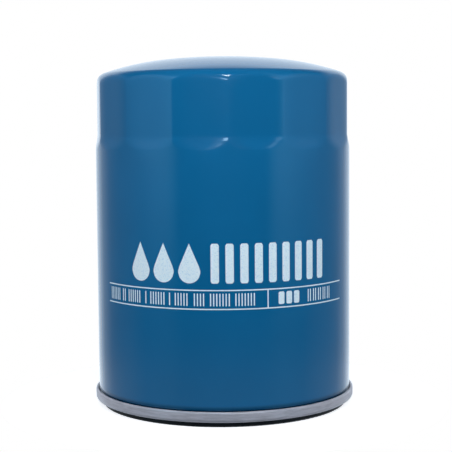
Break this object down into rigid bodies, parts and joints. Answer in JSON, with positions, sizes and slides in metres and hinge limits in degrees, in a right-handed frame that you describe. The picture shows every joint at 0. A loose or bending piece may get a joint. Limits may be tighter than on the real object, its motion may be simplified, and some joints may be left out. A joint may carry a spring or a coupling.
{
  "type": "spin-on oil filter",
  "caption": "Spin-on oil filter: domed can with wrench flats, seamed lid, rubber gasket and threaded plate, with a pleated element, bypass valve and springs inside.",
  "frame": {"origin": "centre of the gasket's sealing face, at the bottom of the filter's box", "axes": "+Z along the can's axis, from the gasket to the domed end; a ridge between two wrench flats points along -Y"},
  "size_m": [0.0986, 0.0986, 0.1311],
  "materials": {
    "can_paint": "glossy blue stoving enamel",
    "lid_steel": "bare tinned steel with fine rolling lines",
    "seam_compound": "grey sealing compound",
    "gasket_rubber": "matt black nitrile rubber",
    "plate_steel": "pressed steel, lightly oiled",
    "valve_rubber": "black nitrile rubber",
    "grommet_rubber": "black nitrile rubber",
    "cap_steel": "pressed tinned steel",
    "potting": "tan plastisol adhesive",
    "media_paper": "resin-treated cellulose paper",
    "clip_steel": "bright steel strip",
    "tube_steel": "perforated steel strip",
    "cage_steel": "pressed steel",
    "seat_steel": "turned steel",
    "poppet_steel": "pressed steel",
    "seal_rubber": "black nitrile rubber",
    "spring_steel": "oil-tempered spring wire"
  },
  "bodies": {
    "housing": {"can": "can_paint", "seaming_lid": "lid_steel", "seam_compound": "seam_compound", "sealing_gasket": "gasket_rubber", "tapping_plate": "plate_steel", "element_grommet": "grommet_rubber", "load_spring": "spring_steel"},
    "drainback_valve": {"anti_drainback_valve": "valve_rubber"},
    "element": {"lower_end_cap": "cap_steel", "lower_cap_adhesive": "potting", "filter_media": "media_paper", "media_seam_clip": "clip_steel", "centre_tube": "tube_steel", "upper_cap_adhesive": "potting", "upper_end_cap": "cap_steel", "bypass_valve_cage": "cage_steel", "bypass_seat": "seat_steel", "bypass_spring": "spring_steel"},
    "bypass_valve": {"bypass_poppet": "poppet_steel", "bypass_poppet_seal": "seal_rubber"}
  },
  "joints": [
    {"name": "drainback_lift", "type": "slide", "parent": "housing", "child": "drainback_valve", "axis": [0, 0, 1], "range_m": [0, 0.0012], "stiffness_N_per_m": 300, "springref_m": -0.001},
    {"name": "element_float", "type": "slide", "parent": "housing", "child": "element", "axis": [0, 0, 1], "range_m": [0, 0.002], "stiffness_N_per_m": 6000, "springref_m": -0.01, "deforming": ["load_spring"]},
    {"name": "bypass_open", "type": "slide", "parent": "element", "child": "bypass_valve", "axis": [0, 0, -1], "range_m": [0, 0.003], "stiffness_N_per_m": 3000, "springref_m": -0.008, "deforming": ["bypass_spring"]}
  ]
}
